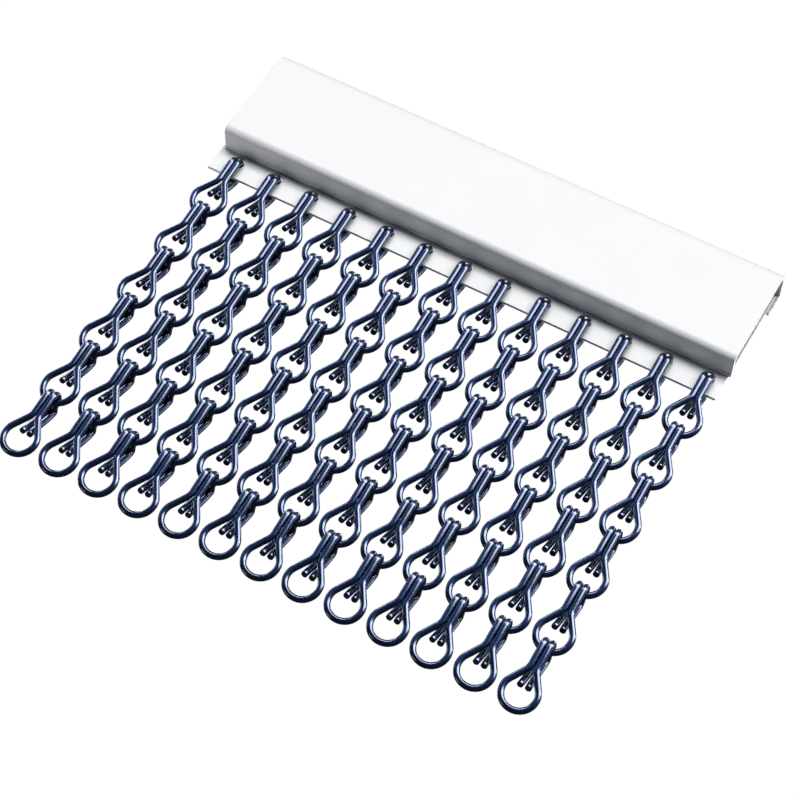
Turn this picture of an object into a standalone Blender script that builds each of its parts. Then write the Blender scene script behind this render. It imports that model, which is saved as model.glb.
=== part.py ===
"""Aluminium chain curtain: thirteen strands of bent wire links hooked into a powder-coated head rail.

Units are metres, +Z is up, +X runs along the rail and the front faces -Y. The curtain hangs from the rail's
top. The origin is the middle of the flat top, which is fixed up under a lintel.
"""

import math

import bmesh
import bpy
from mathutils import Matrix, Vector

MM = 0.001

# Strands and links
STRAND_COUNT = 13
STRAND_PITCH = 15.0 * MM
STRAND_SHIFT = 0.6 * MM  # the middle strand hangs this far along from the middle of the cover
WIRE_DIAMETER = 2.1 * MM
LINK_DROP = 22.05 * MM  # seat axis to the middle of the eye's lowest wire, along the link
EYE_RADIUS = 5.6 * MM  # to the middle of the wire, as are all the radii of the link
SHOULDER_RADIUS = 4.0 * MM
SHOULDER_RISE = 15.4 * MM  # eye's lowest wire to where the two neck wires run parallel
NECK_GAP = 0.2 * MM
HOOK_RADIUS = 2.75 * MM
BULGE_REACH = 4.8 * MM  # hook's middle to the return leg's outermost bend
BULGE_DROP = 1.6 * MM
TIP_DROP = 14.0 * MM
TIP_SPLAY = 0.2 * MM  # neck wire to the tip, sideways
TIP_SETBACK = 1.1 * MM  # neck wire to the tip behind it
SEAT_GAP = 0.3 * MM
FUSED_SINK = 0.15 * MM  # how far a fused hook presses into the wire that carries it

# Links that hang as one body: the numbers count down from the rail
FUSED_GROUPS = ((1,), (2, 3), (4, 5), (6,))

# Cover profile
RAIL_MARGIN = 7.0 * MM  # rail beyond the outermost strands, before their shift
COVER_DEPTH = 13.6 * MM
COVER_HEIGHT = 40.6 * MM
COVER_WALL = 1.3 * MM
FACE_TOP_RADIUS = 4.0 * MM
FACE_FOOT_RADIUS = 2.0 * MM
BACK_TOP_RADIUS = 1.6 * MM
BACK_FLANGE_HEIGHT = 10.0 * MM
LIP_HEIGHT = 0.6 * MM
LIP_DEPTH = 0.9 * MM

# Carrier strip
CARRIER_WALL = 1.2 * MM
CARRIER_SETBACK = 2.3 * MM  # cover's back to the strip's back
CARRIER_DROP = 10.5 * MM  # how far the strip shows below the cover
CARRIER_HEADROOM = 2.1 * MM
CARRIER_SHIFT = -0.8 * MM  # the strip sits this far along in its cover
HOLE_CLEARANCE = 0.45 * MM  # hole's edge to the pair of hook wires in it, level with the hole's middle
HOLE_BRIDGE = 4.2 * MM  # material below each hole, which carries one hook

# Facets
WIRE_SIDES = 4
EYE_STEPS = 7
HOOK_STEPS = 4
CORNER_STEPS = 3
BEAD_STEPS = 5
HOLE_STEPS = 12
CUT_OVERRUN = 1.0 * MM

# Sizes that follow
WIRE_RADIUS = WIRE_DIAMETER / 2
NECK_OFFSET = (WIRE_DIAMETER + NECK_GAP) / 2
FLAT_RADIUS = WIRE_RADIUS * math.sqrt(math.pi / (WIRE_SIDES * math.tan(math.pi / WIRE_SIDES)))
CORNER_RADIUS = FLAT_RADIUS / math.cos(math.pi / WIRE_SIDES)


def crown_rise(ring_radius, gap):
    """Height of a hook's topmost wire over the lowest point of the round edge that its two wires rest on."""
    reach = NECK_OFFSET + FLAT_RADIUS
    return ring_radius + FLAT_RADIUS - math.sqrt((ring_radius - gap) ** 2 - reach**2)


SEAT_RISE = WIRE_RADIUS + crown_rise(EYE_RADIUS - WIRE_RADIUS, SEAT_GAP)
FUSED_DROP = SEAT_RISE - WIRE_RADIUS - crown_rise(EYE_RADIUS - WIRE_RADIUS, -FUSED_SINK)
HOOK_DROP = HOOK_RADIUS - SEAT_RISE  # seat axis to the hook's middle
LINK_TILT = math.atan2(HOOK_RADIUS, LINK_DROP)
LINK_PITCH = math.hypot(HOOK_RADIUS, LINK_DROP)
HOLE_RADIUS = NECK_OFFSET + WIRE_RADIUS + HOLE_CLEARANCE

RAIL_LENGTH = (STRAND_COUNT - 1) * STRAND_PITCH + 2 * RAIL_MARGIN
COVER_TOP = 0.0
COVER_FOOT = COVER_TOP - COVER_HEIGHT
COVER_BACK = COVER_DEPTH / 2
COVER_FRONT = -COVER_DEPTH / 2
CARRIER_BACK = COVER_BACK - CARRIER_SETBACK
CARRIER_FRONT = CARRIER_BACK - CARRIER_WALL
CARRIER_FOOT = COVER_FOOT - CARRIER_DROP
CARRIER_TOP = COVER_TOP - COVER_WALL - CARRIER_HEADROOM
HOLE_LEVEL = CARRIER_FOOT + HOLE_BRIDGE + HOLE_RADIUS
SEAT_LEVEL = CARRIER_FOOT + HOLE_BRIDGE + crown_rise(HOLE_RADIUS, SEAT_GAP) - SEAT_RISE
SEAT_DEPTH = (CARRIER_FRONT + CARRIER_BACK) / 2

POWDER_WHITE = ("powder_coat_white", (0.93, 0.94, 0.95), 0.45, 0.0)
ANODISED_BLUE = ("anodised_navy", (0.02, 0.045, 0.14), 0.25, 1.0)


def clear_scene():
    for item in list(bpy.data.objects):
        bpy.data.objects.remove(item, do_unlink=True)


def make_material(name, color, roughness, metallic):
    material = bpy.data.materials.new(name)
    material.use_nodes = True
    shader = material.node_tree.nodes["Principled BSDF"]
    shader.inputs["Base Color"].default_value = (*color, 1.0)
    shader.inputs["Roughness"].default_value = roughness
    shader.inputs["Metallic"].default_value = metallic
    material.diffuse_color = (*color, 1.0)
    return material


def make_object(name, bm, material=None):
    bmesh.ops.recalc_face_normals(bm, faces=bm.faces)
    mesh = bpy.data.meshes.new(name)
    bm.to_mesh(mesh)
    bm.free()
    item = bpy.data.objects.new(name, mesh)
    bpy.context.scene.collection.objects.link(item)
    if material:
        mesh.materials.append(material)
    return item


def strand_x(strand):
    """Where a strand hangs along the rail; strands count from 0 at the left."""
    return STRAND_SHIFT + (strand - (STRAND_COUNT - 1) / 2) * STRAND_PITCH


def rounded(center, radius, start, end, steps):
    """Points on an arc, ends included."""
    angles = [start + (end - start) * k / steps for k in range(steps + 1)]
    return [(center[0] + radius * math.cos(a), center[1] + radius * math.sin(a)) for a in angles]


def eye_tangent_angle():
    """Angle above level at which the eye's arc runs straight into the shoulder bend."""
    across = NECK_OFFSET + SHOULDER_RADIUS
    up = SHOULDER_RISE - EYE_RADIUS
    spread = math.acos((EYE_RADIUS + SHOULDER_RADIUS) / math.hypot(across, up))
    return math.atan2(up, across) - spread


def front_outline():
    """Right half of the eye, shoulder and neck as (x, height over the eye's lowest wire), bottom up."""
    top = eye_tangent_angle()
    half_step = (math.pi / 2 + top) / EYE_STEPS
    outer = EYE_RADIUS / math.cos(half_step)
    angles = [-math.pi / 2 + half_step * (2 * k + 1) for k in range(EYE_STEPS // 2)]
    eye = [(outer * math.cos(a), EYE_RADIUS + outer * math.sin(a)) for a in angles]
    eye.append((EYE_RADIUS * math.cos(top), EYE_RADIUS * (1 + math.sin(top))))
    bend = SHOULDER_RADIUS * math.tan(top / 2)
    return eye + [(NECK_OFFSET, SHOULDER_RISE - bend)]


def half_link_points():
    """Right half of the wire's middle line, from beside the eye's lowest point to the tip, seat axis at 0."""
    points = [Vector((x, -HOOK_RADIUS, z - LINK_DROP)) for x, z in front_outline()]
    step = math.pi / HOOK_STEPS
    outer = HOOK_RADIUS / math.cos(step / 2)
    for k in range(HOOK_STEPS):
        angle = math.pi - step * (k + 0.5)
        points.append(Vector((NECK_OFFSET, outer * math.cos(angle), outer * math.sin(angle) - HOOK_DROP)))
    points.append(Vector((NECK_OFFSET, BULGE_REACH, -BULGE_DROP - HOOK_DROP)))
    points.append(Vector((NECK_OFFSET + TIP_SPLAY, TIP_SETBACK - HOOK_RADIUS, -TIP_DROP)))
    return points


def mirrored(points):
    return [Vector((-p.x, p.y, p.z)) for p in points]


def link_points():
    half = half_link_points()
    return mirrored(half)[::-1] + half


def sweep_wire(bm, points):
    """Carries the wire's section along a line of points with mitred corners and closes both ends."""
    legs = [(b - a).normalized() for a, b in zip(points, points[1:])]
    across = Vector((1, 0, 0))
    across = (across - legs[0] * across.dot(legs[0])).normalized()
    rings = []
    for k, point in enumerate(points):
        leg = legs[max(k - 1, 0)]
        if 0 < k < len(legs):
            miter = (leg + legs[k]).normalized()
        else:
            miter = leg
        other = leg.cross(across)
        ring = []
        for side in range(WIRE_SIDES):
            angle = 2 * math.pi * (side + 0.5) / WIRE_SIDES
            offset = (across * math.cos(angle) + other * math.sin(angle)) * CORNER_RADIUS
            offset -= leg * (offset.dot(miter) / leg.dot(miter))
            ring.append(bm.verts.new(point + offset))
        rings.append(ring)
        if 0 < k < len(legs):
            across = leg.rotation_difference(legs[k]) @ across
    for ring, following in zip(rings, rings[1:]):
        for side in range(WIRE_SIDES):
            after = (side + 1) % WIRE_SIDES
            bm.faces.new((ring[side], ring[after], following[after], following[side]))
    bm.faces.new(rings[0][::-1])
    bm.faces.new(rings[-1])


def link_mesh(levels):
    """One mesh for each link of a body; the levels are its seats, from the body's own seat axis."""
    tilt = Matrix.Rotation(LINK_TILT, 4, "X")
    meshes = []
    for level in levels:
        bm = bmesh.new()
        sweep_wire(bm, link_points())
        bm.transform(Matrix.Translation((0, 0, level)) @ tilt)
        meshes.append(bm)
    return meshes


def fused_levels(group):
    """Seats of the links in one body: a fused link hangs a little lower, so its hook meets its carrier."""
    return [-place * (LINK_PITCH + FUSED_DROP) for place in range(len(group))]


def group_seat(index):
    """Height of a body's seat axis."""
    level = SEAT_LEVEL
    for group in FUSED_GROUPS[:index]:
        level += fused_levels(group)[-1] - LINK_PITCH
    return level


def join_solids(item, other):
    """Boolean union of two meshes, applied; the second object goes."""
    union = item.modifiers.new("Union", "BOOLEAN")
    union.operation = "UNION"
    union.solver = "EXACT"
    union.object = other
    bpy.context.view_layer.update()
    evaluated = item.evaluated_get(bpy.context.evaluated_depsgraph_get())
    mesh = bpy.data.meshes.new_from_object(evaluated)
    item.modifiers.clear()
    old = item.data
    item.data = mesh
    bpy.data.meshes.remove(old)
    bpy.data.objects.remove(other, do_unlink=True)


def group_name(strand, group):
    label = "link" if len(group) == 1 else "links"
    return f"strand_{strand + 1:02d}_{label}_" + "_".join(str(number) for number in group)


def group_prototype(group, material):
    """The mesh that all strands share for one group of links."""
    parts = [make_object(f"{group[0]}_{k}", bm) for k, bm in enumerate(link_mesh(fused_levels(group)))]
    for other in parts[1:]:
        join_solids(parts[0], other)
    mesh = parts[0].data
    mesh.materials.clear()
    mesh.materials.append(material)
    mesh.shade_smooth()
    mesh.set_sharp_from_angle(angle=math.radians(50))
    bpy.data.objects.remove(parts[0], do_unlink=True)
    return mesh


def build_strands(material):
    for index, group in enumerate(FUSED_GROUPS):
        mesh = group_prototype(group, material)
        for strand in range(STRAND_COUNT):
            item = bpy.data.objects.new(group_name(strand, group), mesh)
            item.location = (strand_x(strand), SEAT_DEPTH, group_seat(index))
            bpy.context.scene.collection.objects.link(item)


def extrude_profile(outline, start, end):
    """Extrudes a closed outline of (y, z) points along X."""
    bm = bmesh.new()
    ring = [bm.verts.new((start, y, z)) for y, z in outline]
    face = bm.faces.new(ring)
    extruded = bmesh.ops.extrude_face_region(bm, geom=[face])
    moved = [v for v in extruded["geom"] if isinstance(v, bmesh.types.BMVert)]
    bmesh.ops.translate(bm, verts=moved, vec=(end - start, 0, 0))
    return bm


def cover_outline():
    """Section of the cover: face, rounded top, back flange with its bead, and foot wall with its lip."""
    quarter = math.pi / 2
    bead = (CARRIER_SETBACK - SEAT_GAP) / 2
    bead_middle = (COVER_BACK - bead, COVER_TOP - BACK_FLANGE_HEIGHT + bead)
    bead_turn = math.acos((COVER_WALL - bead) / bead)
    face_top = (COVER_FRONT + FACE_TOP_RADIUS, COVER_TOP - FACE_TOP_RADIUS)
    face_foot = (COVER_FRONT + FACE_FOOT_RADIUS, COVER_FOOT + FACE_FOOT_RADIUS)
    back_top = (COVER_BACK - BACK_TOP_RADIUS, COVER_TOP - BACK_TOP_RADIUS)
    foot_end = CARRIER_FRONT - SEAT_GAP
    inner_foot = max(FACE_FOOT_RADIUS - COVER_WALL, 0)

    outer = rounded(face_top, FACE_TOP_RADIUS, 2 * quarter, quarter, CORNER_STEPS)
    outer += rounded(back_top, BACK_TOP_RADIUS, quarter, 0, CORNER_STEPS)
    outer += rounded(bead_middle, bead, 0, -2 * quarter - bead_turn, BEAD_STEPS)
    inner = rounded(back_top, BACK_TOP_RADIUS - COVER_WALL, 0, quarter, 1)
    inner += rounded(face_top, FACE_TOP_RADIUS - COVER_WALL, quarter, 2 * quarter, CORNER_STEPS)
    inner += rounded(face_foot, inner_foot, 2 * quarter, 3 * quarter, 1)
    foot = [
        (foot_end, COVER_FOOT + COVER_WALL),
        (foot_end, COVER_FOOT - LIP_HEIGHT),
        (foot_end - LIP_DEPTH, COVER_FOOT - LIP_HEIGHT),
        (foot_end - LIP_DEPTH - LIP_HEIGHT, COVER_FOOT),
    ]
    foot += rounded(face_foot, FACE_FOOT_RADIUS, 3 * quarter, 2 * quarter, CORNER_STEPS)
    return outer + inner + foot


def build_cover(material):
    bm = extrude_profile(cover_outline(), -RAIL_LENGTH / 2, RAIL_LENGTH / 2)
    item = make_object("cover", bm, material)
    item.data.shade_smooth()
    item.data.set_sharp_from_angle(angle=math.radians(35))


def carrier_outline():
    return [
        (CARRIER_FRONT, CARRIER_FOOT),
        (CARRIER_BACK, CARRIER_FOOT),
        (CARRIER_BACK, CARRIER_TOP),
        (CARRIER_FRONT, CARRIER_TOP),
    ]


def hole_cutters():
    """One mesh with a round bar through each hole."""
    bm = bmesh.new()
    for strand in range(STRAND_COUNT):
        turn = Matrix.Rotation(math.pi / 2, 4, "X") @ Matrix.Rotation(math.pi / HOLE_STEPS, 4, "Z")
        place = Matrix.Translation((strand_x(strand), SEAT_DEPTH, HOLE_LEVEL))
        bmesh.ops.create_cone(
            bm,
            cap_ends=True,
            segments=HOLE_STEPS,
            radius1=HOLE_RADIUS / math.cos(math.pi / HOLE_STEPS),
            radius2=HOLE_RADIUS / math.cos(math.pi / HOLE_STEPS),
            depth=CARRIER_WALL + 2 * CUT_OVERRUN,
            matrix=place @ turn,
        )
    return make_object("hole_cutters", bm)


def build_carrier(material):
    half = RAIL_LENGTH / 2
    bm = extrude_profile(carrier_outline(), CARRIER_SHIFT - half, CARRIER_SHIFT + half)
    item = make_object("carrier_strip", bm, material)
    cutters = hole_cutters()
    cutters.hide_render = True
    cutters.display_type = "WIRE"
    cut = item.modifiers.new("Holes", "BOOLEAN")
    cut.operation = "DIFFERENCE"
    cut.solver = "EXACT"
    cut.object = cutters


def main():
    clear_scene()
    white = make_material(*POWDER_WHITE)
    white_strip = make_material("powder_coat_white_strip", *POWDER_WHITE[1:])
    navy = make_material(*ANODISED_BLUE)
    build_cover(white)
    build_carrier(white_strip)
    build_strands(navy)


main()
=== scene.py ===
import math

import bmesh
import bpy
from mathutils import Matrix, Vector


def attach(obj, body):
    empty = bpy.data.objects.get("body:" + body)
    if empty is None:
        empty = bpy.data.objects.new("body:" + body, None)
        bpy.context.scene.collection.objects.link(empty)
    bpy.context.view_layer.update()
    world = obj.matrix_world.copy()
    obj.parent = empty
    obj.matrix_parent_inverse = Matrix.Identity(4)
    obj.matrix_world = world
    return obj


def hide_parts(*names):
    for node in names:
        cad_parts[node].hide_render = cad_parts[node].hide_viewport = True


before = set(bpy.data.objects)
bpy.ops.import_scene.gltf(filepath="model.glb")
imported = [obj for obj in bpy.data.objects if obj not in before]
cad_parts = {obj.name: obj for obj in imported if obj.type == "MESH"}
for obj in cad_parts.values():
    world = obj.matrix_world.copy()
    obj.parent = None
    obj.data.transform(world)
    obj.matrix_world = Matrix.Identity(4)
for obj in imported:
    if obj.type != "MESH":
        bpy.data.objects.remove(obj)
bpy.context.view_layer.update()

MM = 0.001

# Strands, whose hooks' seats lie within about 0.1 mm of the CAD model's hinges
STRAND_COUNT = 13
STRAND_PITCH = 15.0 * MM
STRAND_SHIFT = 0.6 * MM
LINK_COUNT = 6
# For each link, the links that share its body
GROUPS = {1: (1,), 2: (2, 3), 3: (2, 3), 4: (4, 5), 5: (4, 5), 6: (6,)}
SEAT_Y = 3.9 * MM
SEAT_TOP = -47.24 * MM
SEAT_DROPS = (0.0 * MM, 22.30 * MM, 44.80 * MM, 67.20 * MM, 89.65 * MM, 112.01 * MM)

# Wire link
WIRE_RADIUS = 1.1 * MM
NECK_OFFSET = 1.16 * MM
LINK_DROP = 22.05 * MM
EYE_RADIUS = 5.6 * MM
SHOULDER_RADIUS = 4.0 * MM
SHOULDER_RISE = 15.4 * MM
HOOK_RADIUS = 2.75 * MM
HOOK_LIFT = 0.15 * MM
BULGE_REACH = 4.8 * MM
BULGE_DROP = 1.2 * MM
TIP_DROP = 13.7 * MM
TIP_SETBACK = 1.1 * MM
TIP_SPREAD = 0.30 * MM
TIP_SPREAD_POWER = 4
TIP_CHAMFER = 0.10 * MM
RETURN_OFFSET = 1.1 * MM
# Tilt that brings the eye's lowest point of an upright link straight below its seat
LINK_TILT = math.atan2(HOOK_RADIUS, LINK_DROP)
# Lengths of the return curve's directions at the hook, bulge and tip, as shares of its runs
LEAVE_SHARE = 0.5
BULGE_SHARE = 0.6
TIP_SHARE = 1.1
WIRE_SIDES = 16
EYE_STEPS = 26
SHOULDER_STEPS = 8
HOOK_STEPS = 16
BULGE_STEPS = 8
RETURN_STEPS = 16

# Rail cover
RAIL_LENGTH = 194.0 * MM
DEPTH = 13.6 * MM
HEIGHT = 40.6 * MM
WALL = 1.3 * MM
FACE_TOP_RADIUS = 4.0 * MM
FACE_FOOT_RADIUS = 2.5 * MM
BACK_TOP_RADIUS = 1.6 * MM
BACK_FLANGE = 10.0 * MM
BEAD_RADIUS = 1.0 * MM
LIP_HEIGHT = 0.6 * MM
LIP_DEPTH = 0.9 * MM
EDGE_WIDTH = 0.12 * MM

# Carrier strip
STRIP_FRONT = 3.3 * MM
STRIP_BACK = 4.5 * MM
STRIP_FOOT = -51.1 * MM
STRIP_TOP = -3.4 * MM
STRIP_SHIFT = -0.8 * MM
STRIP_GAP = 0.1 * MM
HOLE_RADIUS = 2.4 * MM
HOLE_BRIDGE = 4.2 * MM
HOLE_Z = STRIP_FOOT + HOLE_BRIDGE + HOLE_RADIUS
HOLE_STEPS = 48
FLAT_ANGLE = 0.01

# Colours
WHITE = (1.0, 1.0, 1.0)
RAIL_WHITE = (0.814, 0.818, 0.818)
RAIL_CLOUD_SHARES = (0.975, 0.978, 0.982)
NAVY_DARK = (0.006, 0.021, 0.074)
NAVY_LIGHT = (0.012, 0.038, 0.120)
FLOOR_GREY = (0.82, 0.82, 0.83)
FLOOR_GLOW = (0.97, 0.98, 1.0)
SKY_BLUE = (0.55, 0.70, 1.0)
WINDOW_BLUE = (0.50, 0.66, 1.0)
WARM_WHITE = (1.0, 0.98, 0.95)

# Studio, in metres
LIGHT_TARGET = Vector((0.0, 0.0, -90.0 * MM))
LIGHT_DISTANCE = 1.3
FLOOR_Z = -0.80
FLOOR_REACH = 6.0
BACKDROP_STRENGTH = 1.02
SKY_STRENGTH = 0.07

# Camera, fitted to the photograph: place in metres, directions of the picture's right, down and depth
CAMERA_PLACE = Vector((0.19939, -0.59711, -0.45460))
CAMERA_RIGHT = Vector((0.869568, -0.012425, 0.493656))
CAMERA_DOWN = Vector((0.416685, 0.554933, -0.720016))
CAMERA_FORWARD = Vector((-0.265, 0.831803, 0.487729))
FOCAL_PIXELS = 2234.89
PICTURE_PIXELS = 800
SENSOR_WIDTH = 36.0


def strand_x(strand):
    return STRAND_SHIFT + (strand - (STRAND_COUNT - 1) / 2) * STRAND_PITCH


def angles(start, end, steps):
    return [start + (end - start) * k / steps for k in range(steps + 1)]


def add_object(name, data):
    thing = bpy.data.objects.new(name, data)
    bpy.context.scene.collection.objects.link(thing)
    return thing


def mesh_from(name, bm, material):
    mesh = bpy.data.meshes.new(name)
    bm.to_mesh(mesh)
    bm.free()
    mesh.materials.append(material)
    return mesh


# Materials


class Nodes:
    """A new material's nodes. Inputs are given by name, with _ for a space."""

    def __init__(self, name, **inputs):
        self.material = bpy.data.materials.new(name)
        self.material.use_nodes = True
        self.tree = self.material.node_tree
        self.shader = self.tree.nodes["Principled BSDF"]
        self.set(self.shader, inputs)

    def set(self, node, inputs):
        for name, value in inputs.items():
            node.inputs[name.replace("_", " ")].default_value = value

    def add(self, kind, **inputs):
        node = self.tree.nodes.new(kind)
        self.set(node, inputs)
        return node

    def link(self, output, target):
        self.tree.links.new(output, target)

    def noise(self, place, **inputs):
        node = self.add("ShaderNodeTexNoise", **inputs)
        self.link(place, node.inputs["Vector"])
        return node.outputs["Fac"]

    def tone(self, value, start, end, low, high):
        """Colour that goes from low to high as the value goes from start to end."""
        node = self.add("ShaderNodeValToRGB")
        first, last = node.color_ramp.elements
        first.position, last.position = start, end
        first.color, last.color = (*low, 1), (*high, 1)
        self.link(value, node.inputs["Fac"])
        return node.outputs["Color"]

    def spread(self, value, low, high, start=0.0, end=1.0):
        """Number that goes from low to high as the value goes from start to end."""
        node = self.add("ShaderNodeMapRange", From_Min=start, From_Max=end, To_Min=low, To_Max=high)
        self.link(value, node.inputs["Value"])
        return node.outputs["Result"]

    def bump(self, height, normal=None, **inputs):
        node = self.add("ShaderNodeBump", **inputs)
        self.link(height, node.inputs["Height"])
        if normal is not None:
            self.link(normal, node.inputs["Normal"])
        return node.outputs["Normal"]


def powder_coat(name):
    """White powder coat: faint clouds, orange peel, fine grain, and painted shade that darkens inner corners
    and recesses.
    """
    n = Nodes(name)
    place = n.add("ShaderNodeTexCoord").outputs["Object"]
    peel = n.noise(place, Scale=1400.0, Detail=2.0, Roughness=0.5)
    grain = n.noise(place, Scale=5200.0, Detail=3.0, Roughness=0.6)
    cloud = n.noise(place, Scale=28.0, Detail=3.0, Roughness=0.5)
    clouded = [tint * share for tint, share in zip(RAIL_WHITE, RAIL_CLOUD_SHARES)]
    tone = n.tone(cloud, start=0.3, end=0.7, low=clouded, high=RAIL_WHITE)
    # Painted shade: ambient occlusion scales the base colour down to 0.55 in inner corners and recesses, and
    # next to the hooks
    corners = n.add("ShaderNodeAmbientOcclusion", Distance=14.0 * MM)
    corners.samples = 8
    corner_shade_factor = n.spread(corners.outputs["AO"], low=0.55, high=1.0, start=0.25, end=0.70)
    corner_shaded_tone = n.add("ShaderNodeVectorMath")
    corner_shaded_tone.operation = "SCALE"
    n.link(tone, corner_shaded_tone.inputs[0])
    n.link(corner_shade_factor, corner_shaded_tone.inputs["Scale"])
    n.link(corner_shaded_tone.outputs["Vector"], n.shader.inputs["Base Color"])
    n.link(n.spread(grain, low=0.38, high=0.50), n.shader.inputs["Roughness"])
    waves = n.bump(peel, Strength=0.10, Distance=0.06 * MM)
    n.link(n.bump(grain, waves, Strength=0.08, Distance=0.02 * MM), n.shader.inputs["Normal"])
    return n.material


def anodised(name):
    """Dyed bright aluminium wire with drawing lines, whose UVs run along and around the wire."""
    n = Nodes(name, Metallic=1.0, Coat_Weight=1.0, Coat_Roughness=0.13, Coat_IOR=1.8)
    stretch = n.add("ShaderNodeMapping", Scale=(0.25, 14.0, 1.0))
    n.link(n.add("ShaderNodeUVMap").outputs["UV"], stretch.inputs["Vector"])
    lines = n.noise(stretch.outputs["Vector"], Scale=2.0, Detail=4.0, Roughness=0.6)
    place = n.add("ShaderNodeTexCoord").outputs["Object"]
    cloud = n.noise(place, Scale=220.0, Detail=2.0, Roughness=0.5)
    tone = n.tone(cloud, start=0.25, end=0.75, low=NAVY_DARK, high=NAVY_LIGHT)
    n.link(tone, n.shader.inputs["Base Color"])
    n.link(n.spread(lines, low=0.31, high=0.42), n.shader.inputs["Roughness"])
    n.link(n.bump(lines, Strength=0.03, Distance=0.03 * MM), n.shader.inputs["Normal"])
    return n.material


def floor_material():
    base, glow = (*FLOOR_GREY, 1), (*FLOOR_GLOW, 1)
    n = Nodes("floor", Roughness=0.8, Base_Color=base, Emission_Color=glow, Emission_Strength=0.72)
    return n.material


# Wire links


def hermite(a, b, start, end, steps):
    """Points after a on the curve that leaves a along start and comes to b along end."""
    points = []
    for k in range(1, steps + 1):
        t = k / steps
        points.append(
            a * (2 * t**3 - 3 * t**2 + 1)
            + start * (t**3 - 2 * t**2 + t)
            + b * (3 * t**2 - 2 * t**3)
            + end * (t**3 - t**2)
        )
    return points


def half_path():
    """Right half of an upright link's middle line, from the eye's foot to the tip, with its seat at 0."""
    across = NECK_OFFSET + SHOULDER_RADIUS
    up = SHOULDER_RISE - EYE_RADIUS
    reach = math.hypot(across, up)
    top = math.atan2(up, across) - math.acos((EYE_RADIUS + SHOULDER_RADIUS) / reach)
    points = []
    for a in angles(-math.pi / 2, top, EYE_STEPS):
        x = EYE_RADIUS * math.cos(a)
        z = EYE_RADIUS * (1 + math.sin(a)) - LINK_DROP
        points.append(Vector((x, -HOOK_RADIUS, z)))
    for a in angles(top, 0, SHOULDER_STEPS):
        x = NECK_OFFSET + SHOULDER_RADIUS * (1 - math.cos(a))
        z = SHOULDER_RISE - SHOULDER_RADIUS * math.sin(a) - LINK_DROP
        points.append(Vector((x, -HOOK_RADIUS, z)))
    for a in angles(math.pi, 0, HOOK_STEPS):
        y = HOOK_RADIUS * math.cos(a)
        z = HOOK_RADIUS * math.sin(a) + HOOK_LIFT
        points.append(Vector((NECK_OFFSET, y, z)))
    bulge = Vector((RETURN_OFFSET, BULGE_REACH, HOOK_LIFT - BULGE_DROP))
    tip = Vector((RETURN_OFFSET, TIP_SETBACK - HOOK_RADIUS, -TIP_DROP))
    leave = Vector((0, LEAVE_SHARE * (BULGE_REACH - HOOK_RADIUS), -BULGE_DROP))
    points += hermite(points[-1], bulge, leave, Vector((0, 0, -BULGE_DROP)), BULGE_STEPS)
    run = tip - bulge
    fall = Vector((0, 0, run.z * BULGE_SHARE))
    for k, point in enumerate(hermite(bulge, tip, fall, run * TIP_SHARE, RETURN_STEPS)):
        point.x += TIP_SPREAD * ((k + 1) / RETURN_STEPS) ** TIP_SPREAD_POWER
        points.append(point)
    return points


def stations(points):
    """Each point with its tangent, a side vector that turns no more than it must, and the length so far."""
    last = len(points) - 1
    tangents = []
    for k in range(len(points)):
        tangents.append((points[min(k + 1, last)] - points[max(k - 1, 0)]).normalized())
    side = tangents[0].orthogonal().normalized()
    length = 0.0
    found = [(points[0], tangents[0], side.copy(), length)]
    for k in range(1, len(points)):
        side = tangents[k - 1].rotation_difference(tangents[k]) @ side
        length += (points[k] - points[k - 1]).length
        found.append((points[k], tangents[k], side.copy(), length))
    return found


def moved_along(station, distance):
    point, tangent, side, length = station
    return (point + tangent * distance, tangent, side, length + distance)


def wire_rings(points):
    """Stations with the radius of each, from one chamfered tip to the other."""
    start, *middle, end = stations(points)
    tip_radius = WIRE_RADIUS - TIP_CHAMFER
    rings = [(*start, tip_radius), (*moved_along(start, TIP_CHAMFER), WIRE_RADIUS)]
    rings += [(*station, WIRE_RADIUS) for station in middle]
    rings += [(*moved_along(end, -TIP_CHAMFER), WIRE_RADIUS), (*end, tip_radius)]
    return rings


def link_mesh(material):
    half = half_path()
    other_half = [Vector((-point.x, point.y, point.z)) for point in half[:0:-1]]
    bm = bmesh.new()
    uv_layer = bm.loops.layers.uv.new("wire")
    rings = []
    lengths = []
    for point, tangent, side, length, radius in wire_rings(other_half + half):
        across = tangent.cross(side)
        ring = []
        for s in range(WIRE_SIDES):
            a = 2 * math.pi * s / WIRE_SIDES
            ring.append(bm.verts.new(point + (side * math.cos(a) + across * math.sin(a)) * radius))
        rings.append(ring)
        lengths.append(length / MM)
    for k in range(len(rings) - 1):
        for s in range(WIRE_SIDES):
            t = (s + 1) % WIRE_SIDES
            face = bm.faces.new((rings[k][s], rings[k][t], rings[k + 1][t], rings[k + 1][s]))
            face.smooth = 0 < k < len(rings) - 2
            corners = ((k, s), (k, s + 1), (k + 1, s + 1), (k + 1, s))
            for loop, (i, j) in zip(face.loops, corners):
                loop[uv_layer].uv = (lengths[i], j / WIRE_SIDES)
    bm.faces.new(rings[0][::-1])
    bm.faces.new(rings[-1])
    bmesh.ops.recalc_face_normals(bm, faces=bm.faces)
    bm.transform(Matrix.Rotation(LINK_TILT, 4, "X"))
    return mesh_from("wire_link", bm, material)


def node_name(strand, link):
    group = GROUPS[link]
    label = "link" if len(group) == 1 else "links"
    return f"strand_{strand + 1:02d}_{label}_" + "_".join(str(number) for number in group)


def build_links(material):
    mesh = link_mesh(material)
    pieces = []
    for strand in range(STRAND_COUNT):
        for link in range(1, LINK_COUNT + 1):
            piece = add_object(f"wire_link_{strand + 1:02d}_{link}", mesh)
            piece.location = (strand_x(strand), SEAT_Y, SEAT_TOP - SEAT_DROPS[link - 1])
            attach(piece, node_name(strand, link))
            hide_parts(node_name(strand, link))
            pieces.append(piece)
    return pieces


# Rail


def rounded(center, radius, start, end, steps):
    turns = angles(start, end, steps)
    return [(center[0] + radius * math.cos(a), center[1] + radius * math.sin(a)) for a in turns]


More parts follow.
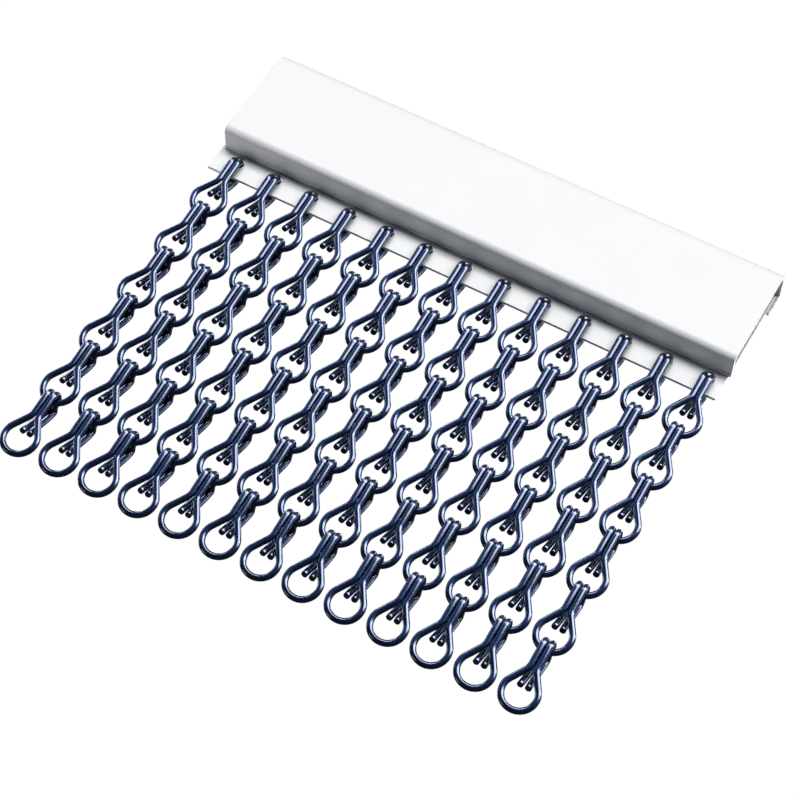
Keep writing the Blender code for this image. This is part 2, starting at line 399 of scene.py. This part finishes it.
def cover_outline():
    """Outline in Y and Z: over the top to the bead, along the inside to the lip, and round the foot."""
    right, up, left, down = 0, math.pi / 2, math.pi, 1.5 * math.pi
    front, back = -DEPTH / 2, DEPTH / 2
    face_top = (front + FACE_TOP_RADIUS, -FACE_TOP_RADIUS)
    face_foot = (front + FACE_FOOT_RADIUS, -HEIGHT + FACE_FOOT_RADIUS)
    back_top = (back - BACK_TOP_RADIUS, -BACK_TOP_RADIUS)
    bead_middle = (back - BEAD_RADIUS, -BACK_FLANGE + BEAD_RADIUS)
    bead_turn = math.acos((WALL - BEAD_RADIUS) / BEAD_RADIUS)
    outline = rounded(face_top, FACE_TOP_RADIUS, left, up, steps=12)
    outline += rounded(back_top, BACK_TOP_RADIUS, up, right, steps=8)
    outline += rounded(bead_middle, BEAD_RADIUS, right, -left - bead_turn, steps=16)
    outline += rounded(back_top, BACK_TOP_RADIUS - WALL, right, up, steps=4)
    outline += rounded(face_top, FACE_TOP_RADIUS - WALL, up, left, steps=10)
    outline += rounded(face_foot, FACE_FOOT_RADIUS - WALL, left, down, steps=5)
    half = LIP_HEIGHT / 2
    lip_back = STRIP_FRONT - STRIP_GAP
    lip_front = lip_back - LIP_DEPTH
    lip_z = -HEIGHT - half
    outline += [(lip_back, -HEIGHT + WALL), (lip_back, lip_z)]
    outline += rounded((lip_back - half, lip_z), half, right, -up, steps=4)[1:]
    outline += rounded((lip_front + half, lip_z), half, -up, -left, steps=4)
    outline += rounded((lip_front - half, lip_z), half, right, up, steps=4)[1:]
    outline += rounded(face_foot, FACE_FOOT_RADIUS, down, left, steps=10)
    return outline


def thicken(bm, offset):
    """Makes a solid of the faces by extruding them."""
    extruded = bmesh.ops.extrude_face_region(bm, geom=list(bm.faces))
    moved = [v for v in extruded["geom"] if isinstance(v, bmesh.types.BMVert)]
    bmesh.ops.translate(bm, verts=moved, vec=offset)
    bmesh.ops.recalc_face_normals(bm, faces=bm.faces)


def finish_sheet(name, bm, material):
    """Object with finely rounded edges, shaded so that its flat faces stay flat."""
    mesh = mesh_from(name, bm, material)
    mesh.shade_smooth()
    piece = add_object(name, mesh)
    bevel = piece.modifiers.new("Edges", "BEVEL")
    bevel.width = EDGE_WIDTH
    bevel.segments = 3
    bevel.limit_method = "ANGLE"
    bevel.angle_limit = math.radians(50)
    weighted = piece.modifiers.new("Normals", "WEIGHTED_NORMAL")
    weighted.weight = 100
    return piece


def build_cover(material):
    bm = bmesh.new()
    bm.faces.new([bm.verts.new((-RAIL_LENGTH / 2, y, z)) for y, z in cover_outline()])
    thicken(bm, (RAIL_LENGTH, 0, 0))
    piece = finish_sheet("rail_cover", bm, material)
    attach(piece, "rail")
    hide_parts("cover")
    return piece


def build_strip(material):
    left, right = STRIP_SHIFT - RAIL_LENGTH / 2, STRIP_SHIFT + RAIL_LENGTH / 2
    outlines = [[(left, STRIP_FOOT), (right, STRIP_FOOT), (right, STRIP_TOP), (left, STRIP_TOP)]]
    for strand in range(STRAND_COUNT):
        hole = (strand_x(strand), HOLE_Z)
        outlines.append(rounded(hole, HOLE_RADIUS, 0, 2 * math.pi, HOLE_STEPS)[:-1])
    bm = bmesh.new()
    edges = []
    for outline in outlines:
        ring = [bm.verts.new((x, STRIP_FRONT, z)) for x, z in outline]
        for a, b in zip(ring, ring[1:] + ring[:1]):
            edges.append(bm.edges.new((a, b)))
    bmesh.ops.triangle_fill(bm, edges=edges, use_beauty=True)
    bmesh.ops.dissolve_limit(bm, angle_limit=FLAT_ANGLE, verts=bm.verts, edges=bm.edges)
    thicken(bm, (0, STRIP_BACK - STRIP_FRONT, 0))
    piece = finish_sheet("carrier", bm, material)
    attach(piece, "rail")
    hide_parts("carrier_strip")
    return piece


# Surroundings


def light_group(name, pieces):
    """Collection of the pieces that a light given this group shines on."""
    group = bpy.data.collections.new(name)
    for piece in pieces:
        group.objects.link(piece)
    return group


def softbox(
    name, azimuth, elevation, width, height, radiance, distance=LIGHT_DISTANCE, color=WHITE, group=None
):
    """Rectangular light that faces the curtain, in degrees and metres: azimuth 0 is in front, 90 is right."""
    data = bpy.data.lights.new(name, "AREA")
    data.shape = "RECTANGLE"
    data.size = width
    data.size_y = height
    data.energy = radiance * math.pi * width * height
    data.color = color
    lamp = add_object(name, data)
    turn, rise = math.radians(azimuth), math.radians(elevation)
    level = math.cos(rise)
    direction = Vector((math.sin(turn) * level, -math.cos(turn) * level, math.sin(rise)))
    lamp.location = LIGHT_TARGET + direction * distance
    lamp.rotation_euler = direction.to_track_quat("Z", "Y").to_euler()
    lamp.visible_camera = False
    if group:
        lamp.light_linking.receiver_collection = group


def build_lights(rail_pieces, links):
    """Lights kept for the rail, lights kept for the wires, and two side lights for everything."""
    rail = light_group("rail_lighting", rail_pieces)
    wires = light_group("wire_lighting", links)
    softbox("key", 32, 26, width=1.2, height=0.53, radiance=7.2, group=wires)
    softbox("key_top", 20, 45, width=2.4, height=0.36, radiance=10.0, group=wires)
    softbox("front_left", -80, 10, width=1.4, height=0.9, radiance=0.95, color=WINDOW_BLUE, group=wires)
    softbox("upper_left", -84, 41, width=0.9, height=0.3, radiance=6.0, group=wires)
    softbox("left_side", -112, 5, width=0.7, height=0.8, radiance=3.0)
    softbox("lower_left", -80, -48, width=0.75, height=0.45, radiance=1.2, group=wires)
    softbox("far_top", 142, 57, width=0.9, height=0.35, radiance=3.5, group=wires)
    softbox("upper_right", 92, 39, width=0.9, height=0.2, radiance=4.5, group=wires)
    softbox("right_side", 122, 15, width=0.8, height=1.0, radiance=0.4)
    softbox("rail_front", -10, 22.5, width=1.2, height=0.42, radiance=10.0, group=rail)
    softbox("rail_front_right", 38, 22.5, width=0.5, height=0.42, radiance=8.0, group=rail)
    softbox("rail_behind", 180, -50, width=1.2, height=0.7, radiance=0.3, distance=0.8, group=rail)
    softbox("rail_right", 98, 12, width=0.7, height=0.7, radiance=4.5, group=rail)
    softbox("rail_back", 175, 25, width=1.2, height=0.8, radiance=3.5, group=rail)
    softbox(
        "rail_end", 82, 15, width=0.05, height=0.03, radiance=10.0,
        distance=0.24, color=WARM_WHITE, group=rail,
    )
    softbox("rail_low_left", -85, -45, width=0.3, height=0.2, radiance=3.0, distance=0.45, group=rail)


def build_world():
    """A white backdrop for the camera, and a faint blue fill for everything else."""
    world = bpy.data.worlds.new("studio")
    bpy.context.scene.world = world
    world.use_nodes = True
    tree = world.node_tree
    tree.nodes.clear()
    output = tree.nodes.new("ShaderNodeOutputWorld")
    mix = tree.nodes.new("ShaderNodeMixShader")
    path = tree.nodes.new("ShaderNodeLightPath")
    tree.links.new(path.outputs["Is Camera Ray"], mix.inputs["Fac"])
    tree.links.new(mix.outputs["Shader"], output.inputs["Surface"])
    backgrounds = ((SKY_BLUE, SKY_STRENGTH), (WHITE, BACKDROP_STRENGTH))
    for slot, (color, strength) in enumerate(backgrounds, start=1):
        background = tree.nodes.new("ShaderNodeBackground")
        background.inputs["Color"].default_value = (*color, 1)
        background.inputs["Strength"].default_value = strength
        tree.links.new(background.outputs["Background"], mix.inputs[slot])


def build_floor():
    bm = bmesh.new()
    bmesh.ops.create_grid(bm, x_segments=1, y_segments=1, size=FLOOR_REACH)
    floor = add_object("floor", mesh_from("floor", bm, floor_material()))
    floor.location = (0, 0, FLOOR_Z)
    floor.visible_diffuse = False
    floor.visible_glossy = False


def build_camera():
    data = bpy.data.cameras.new("camera")
    data.sensor_width = SENSOR_WIDTH
    data.lens = FOCAL_PIXELS / PICTURE_PIXELS * SENSOR_WIDTH
    camera = add_object("camera", data)
    turn = Matrix((CAMERA_RIGHT, -CAMERA_DOWN, -CAMERA_FORWARD)).transposed().to_4x4()
    camera.matrix_world = Matrix.Translation(CAMERA_PLACE) @ turn
    bpy.context.scene.camera = camera


def main():
    bpy.context.scene.view_settings.view_transform = "Standard"
    cover = build_cover(powder_coat("powder_coat_white"))
    strip = build_strip(powder_coat("powder_coat_white_strip"))
    links = build_links(anodised("anodised_navy"))
    build_floor()
    build_world()
    build_camera()
    build_lights([cover, strip], links)


main()
